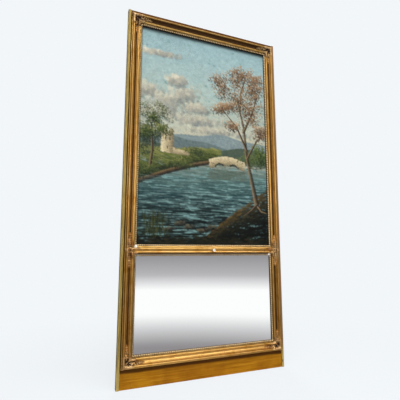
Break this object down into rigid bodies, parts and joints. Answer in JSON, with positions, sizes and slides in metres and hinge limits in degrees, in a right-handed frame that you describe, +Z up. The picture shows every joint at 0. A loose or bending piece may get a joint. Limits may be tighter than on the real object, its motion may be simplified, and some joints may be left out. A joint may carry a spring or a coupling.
{
  "type": "trumeau mirror",
  "caption": "Tall trumeau mirror: one gilt frame with leaf ornaments holds a painted landscape above a plain looking glass, and has turn buttons and hanging rings on its back.",
  "frame": {"origin": "middle of the bottom board's underside, halfway through the boards' thickness", "axes": "+Z up, +X to the right as seen from the front, -Y towards the viewer"},
  "size_m": [0.76, 0.0559, 1.6],
  "materials": {
    "gilt_moulding": "water gilding on gesso over pine, worn, satin",
    "gilt_composition": "pressed composition of chalk, glue and resin, gilded, worn, satin",
    "board_paint": "pine boards in gold-brown bronze paint, streaked",
    "lath_paint": "pine laths in yellow ochre paint",
    "raw_pine": "bare aged pine",
    "oil_canvas": "oil paint on linen canvas, varnished",
    "silvered_glass": "silvered plate glass",
    "dull_brass": "dull aged brass",
    "dull_steel": "dull steel wood screws",
    "bone_button": "cream, worn, satin"
  },
  "bodies": {
    "frame": {"left_stile": "board_paint", "right_stile": "board_paint", "top_rail": "board_paint", "middle_rail": "board_paint", "bottom_board": "board_paint", "left_edge_lath": "lath_paint", "right_edge_lath": "lath_paint", "top_moulding": "gilt_moulding", "left_moulding": "gilt_moulding", "right_moulding": "gilt_moulding", "bottom_moulding": "gilt_moulding", "middle_moulding": "gilt_moulding", "painting_sight_top": "gilt_composition", "painting_sight_left": "gilt_composition", "painting_sight_right": "gilt_composition", "painting_sight_bottom": "gilt_composition", "glass_sight_top": "gilt_composition", "glass_sight_left": "gilt_composition", "glass_sight_right": "gilt_composition", "glass_sight_bottom": "gilt_composition", "bottom_left_leaf_corner": "gilt_composition", "bottom_right_leaf_corner": "gilt_composition", "top_right_leaf_corner": "gilt_composition", "top_left_leaf_corner": "gilt_composition", "left_leaf_junction": "gilt_composition", "right_leaf_junction": "gilt_composition", "middle_rosette": "bone_button", "painting_canvas": "oil_canvas", "stretcher_top": "raw_pine", "stretcher_top_first_key": "raw_pine", "stretcher_top_second_key": "raw_pine", "stretcher_left": "raw_pine", "stretcher_left_first_key": "raw_pine", "stretcher_left_second_key": "raw_pine", "stretcher_right": "raw_pine", "stretcher_right_first_key": "raw_pine", "stretcher_right_second_key": "raw_pine", "stretcher_bottom": "raw_pine", "stretcher_bottom_first_key": "raw_pine", "stretcher_bottom_second_key": "raw_pine", "stretcher_cross_bar": "raw_pine", "mirror_glass": "silvered_glass", "lower_back_plank": "raw_pine", "upper_back_plank": "raw_pine", "left_lower_button_screw": "dull_steel", "left_upper_button_screw": "dull_steel", "left_glass_button_screw": "dull_steel", "right_lower_button_screw": "dull_steel", "right_upper_button_screw": "dull_steel", "right_glass_button_screw": "dull_steel", "left_screw_eye": "dull_brass", "right_screw_eye": "dull_brass"},
    "left_lower_turn_button": {"left_lower_turn_button": "dull_brass"},
    "left_upper_turn_button": {"left_upper_turn_button": "dull_brass"},
    "left_glass_turn_button": {"left_glass_turn_button": "dull_brass"},
    "right_lower_turn_button": {"right_lower_turn_button": "dull_brass"},
    "right_upper_turn_button": {"right_upper_turn_button": "dull_brass"},
    "right_glass_turn_button": {"right_glass_turn_button": "dull_brass"},
    "left_hanging_ring": {"left_hanging_ring": "dull_brass"},
    "right_hanging_ring": {"right_hanging_ring": "dull_brass"}
  },
  "joints": [
    {"name": "left_lower_turn_button_pivot", "type": "hinge", "parent": "frame", "child": "left_lower_turn_button", "pos_m": [-0.334, 0.0105, 0.72529], "axis": [0, 1, 0], "continuous": true},
    {"name": "left_upper_turn_button_pivot", "type": "hinge", "parent": "frame", "child": "left_upper_turn_button", "pos_m": [-0.334, 0.0105, 1.36311], "axis": [0, 1, 0], "continuous": true},
    {"name": "left_glass_turn_button_pivot", "type": "hinge", "parent": "frame", "child": "left_glass_turn_button", "pos_m": [-0.334, 0.0105, 0.3144], "axis": [0, 1, 0], "continuous": true},
    {"name": "right_lower_turn_button_pivot", "type": "hinge", "parent": "frame", "child": "right_lower_turn_button", "pos_m": [0.334, 0.0105, 0.72529], "axis": [0, 1, 0], "continuous": true},
    {"name": "right_upper_turn_button_pivot", "type": "hinge", "parent": "frame", "child": "right_upper_turn_button", "pos_m": [0.334, 0.0105, 1.36311], "axis": [0, 1, 0], "continuous": true},
    {"name": "right_glass_turn_button_pivot", "type": "hinge", "parent": "frame", "child": "right_glass_turn_button", "pos_m": [0.334, 0.0105, 0.3144], "axis": [0, 1, 0], "continuous": true},
    {"name": "left_hanging_ring_swing", "type": "hinge", "parent": "frame", "child": "left_hanging_ring", "pos_m": [-0.346, 0.0174, 1.4468], "axis": [1, 0, 0], "range_deg": [-14, 194]},
    {"name": "right_hanging_ring_swing", "type": "hinge", "parent": "frame", "child": "right_hanging_ring", "pos_m": [0.346, 0.0174, 1.4468], "axis": [1, 0, 0], "range_deg": [-14, 194]}
  ]
}
